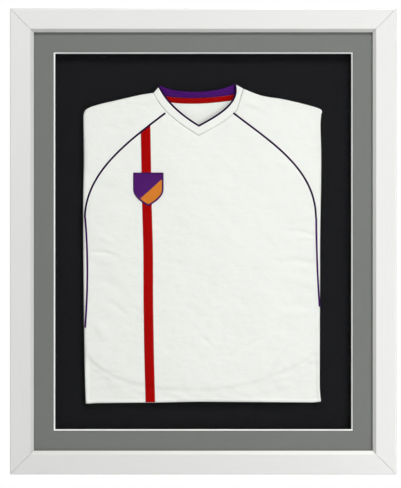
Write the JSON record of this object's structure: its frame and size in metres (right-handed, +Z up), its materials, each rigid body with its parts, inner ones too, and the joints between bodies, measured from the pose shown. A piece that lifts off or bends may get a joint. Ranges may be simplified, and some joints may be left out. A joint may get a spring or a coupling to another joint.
{
  "type": "jersey display frame",
  "caption": "Deep glazed wall frame that shows a folded sports shirt on a black board behind a grey window mount, with turn buttons and ring hangers behind.",
  "frame": {"origin": "on the wall plane, midway between the two ring hangers, at the height of the bars that their rings turn on", "axes": "+Z up, the glazed front faces -Y, +Y points at the wall, +X is right as seen from the front"},
  "size_m": [0.738, 0.0399, 0.89],
  "materials": {
    "moulding": "satin silver-white lacquer over wood moulding",
    "glazing": "clear, polished",
    "mount_card": "matt grey faced mount board with a white core",
    "backing_card": "matt black",
    "spacer_strip": "black faced box fillet",
    "hardboard": "smooth brown hardboard",
    "former_board": "white board",
    "shirt_white": "fine white polyester knit",
    "shirt_purple": "purple rib knit",
    "shirt_red": "red knit",
    "shirt_piping": "dark indigo piping",
    "patch_twill": "embroidered twill, two plain colours",
    "pad_foam": "closed cell adhesive foam",
    "nail_steel": "bare steel",
    "zinc_steel": "bright zinc plated",
    "nickel_steel": "nickel plated",
    "bumper_rubber": "black rubber"
  },
  "bodies": {
    "case": {"back_panel": "hardboard", "backing_board": "backing_card", "bumper_left": "bumper_rubber", "bumper_right": "bumper_rubber", "button_screw_bottom_left": "zinc_steel", "button_screw_bottom_right": "zinc_steel", "button_screw_left_lower": "zinc_steel", "button_screw_left_upper": "zinc_steel", "button_screw_right_lower": "zinc_steel", "button_screw_right_upper": "zinc_steel", "button_screw_top_left": "zinc_steel", "button_screw_top_right": "zinc_steel", "chest_patch": "patch_twill", "chest_stripe": "shirt_red", "collar_band": "shirt_purple", "collar_rib": "shirt_white", "fixing_pad_lower": "pad_foam", "fixing_pad_upper": "pad_foam", "form_board": "former_board", "glazing": "glazing", "hanger_screw_left_lower": "nickel_steel", "hanger_screw_left_upper": "nickel_steel", "hanger_screw_right_lower": "nickel_steel", "hanger_screw_right_upper": "nickel_steel", "hanger_strap_left": "nickel_steel", "hanger_strap_right": "nickel_steel", "jersey_back": "shirt_white", "jersey_front": "shirt_white", "mount_board": "mount_card", "neck_binding": "shirt_piping", "neck_tape": "shirt_red", "raglan_piping_left": "shirt_piping", "raglan_piping_right": "shirt_piping", "rail_bottom": "moulding", "rail_left": "moulding", "rail_right": "moulding", "rail_top": "moulding", "side_piping_left": "shirt_piping", "side_piping_right": "shirt_piping", "sleeve_left": "shirt_white", "sleeve_right": "shirt_white", "spacer_bottom": "spacer_strip", "spacer_left": "spacer_strip", "spacer_right": "spacer_strip", "spacer_top": "spacer_strip", "v_nail_bottom_left": "nail_steel", "v_nail_bottom_right": "nail_steel", "v_nail_top_left": "nail_steel", "v_nail_top_right": "nail_steel"},
    "ring_left": {"d_ring_left": "nickel_steel"},
    "ring_right": {"d_ring_right": "nickel_steel"},
    "button_bottom_left": {"turn_button_bottom_left": "zinc_steel"},
    "button_bottom_right": {"turn_button_bottom_right": "zinc_steel"},
    "button_left_lower": {"turn_button_left_lower": "zinc_steel"},
    "button_left_upper": {"turn_button_left_upper": "zinc_steel"},
    "button_right_lower": {"turn_button_right_lower": "zinc_steel"},
    "button_right_upper": {"turn_button_right_upper": "zinc_steel"},
    "button_top_left": {"turn_button_top_left": "zinc_steel"},
    "button_top_right": {"turn_button_top_right": "zinc_steel"}
  },
  "joints": [
    {"name": "turn_top_left", "type": "hinge", "parent": "case", "child": "button_top_left", "pos_m": [-0.221, -0.0057, 0.1905], "axis": [0, 1, 0], "continuous": true},
    {"name": "turn_bottom_left", "type": "hinge", "parent": "case", "child": "button_bottom_left", "pos_m": [-0.221, -0.0057, -0.6365], "axis": [0, 1, 0], "continuous": true},
    {"name": "turn_top_right", "type": "hinge", "parent": "case", "child": "button_top_right", "pos_m": [0.221, -0.0057, 0.1905], "axis": [0, 1, 0], "continuous": true},
    {"name": "turn_bottom_right", "type": "hinge", "parent": "case", "child": "button_bottom_right", "pos_m": [0.221, -0.0057, -0.6365], "axis": [0, 1, 0], "continuous": true},
    {"name": "turn_left_upper", "type": "hinge", "parent": "case", "child": "button_left_upper", "pos_m": [-0.3375, -0.0057, 0.074], "axis": [0, 1, 0], "continuous": true},
    {"name": "turn_left_lower", "type": "hinge", "parent": "case", "child": "button_left_lower", "pos_m": [-0.3375, -0.0057, -0.52], "axis": [0, 1, 0], "continuous": true},
    {"name": "turn_right_upper", "type": "hinge", "parent": "case", "child": "button_right_upper", "pos_m": [0.3375, -0.0057, 0.074], "axis": [0, 1, 0], "continuous": true},
    {"name": "turn_right_lower", "type": "hinge", "parent": "case", "child": "button_right_lower", "pos_m": [0.3375, -0.0057, -0.52], "axis": [0, 1, 0], "continuous": true},
    {"name": "swing_left", "type": "hinge", "parent": "case", "child": "ring_left", "pos_m": [-0.35, -0.003, 0], "axis": [1, 0, 0], "range_deg": [0, 180]},
    {"name": "swing_right", "type": "hinge", "parent": "case", "child": "ring_right", "pos_m": [0.35, -0.003, 0], "axis": [1, 0, 0], "range_deg": [0, 180]}
  ]
}
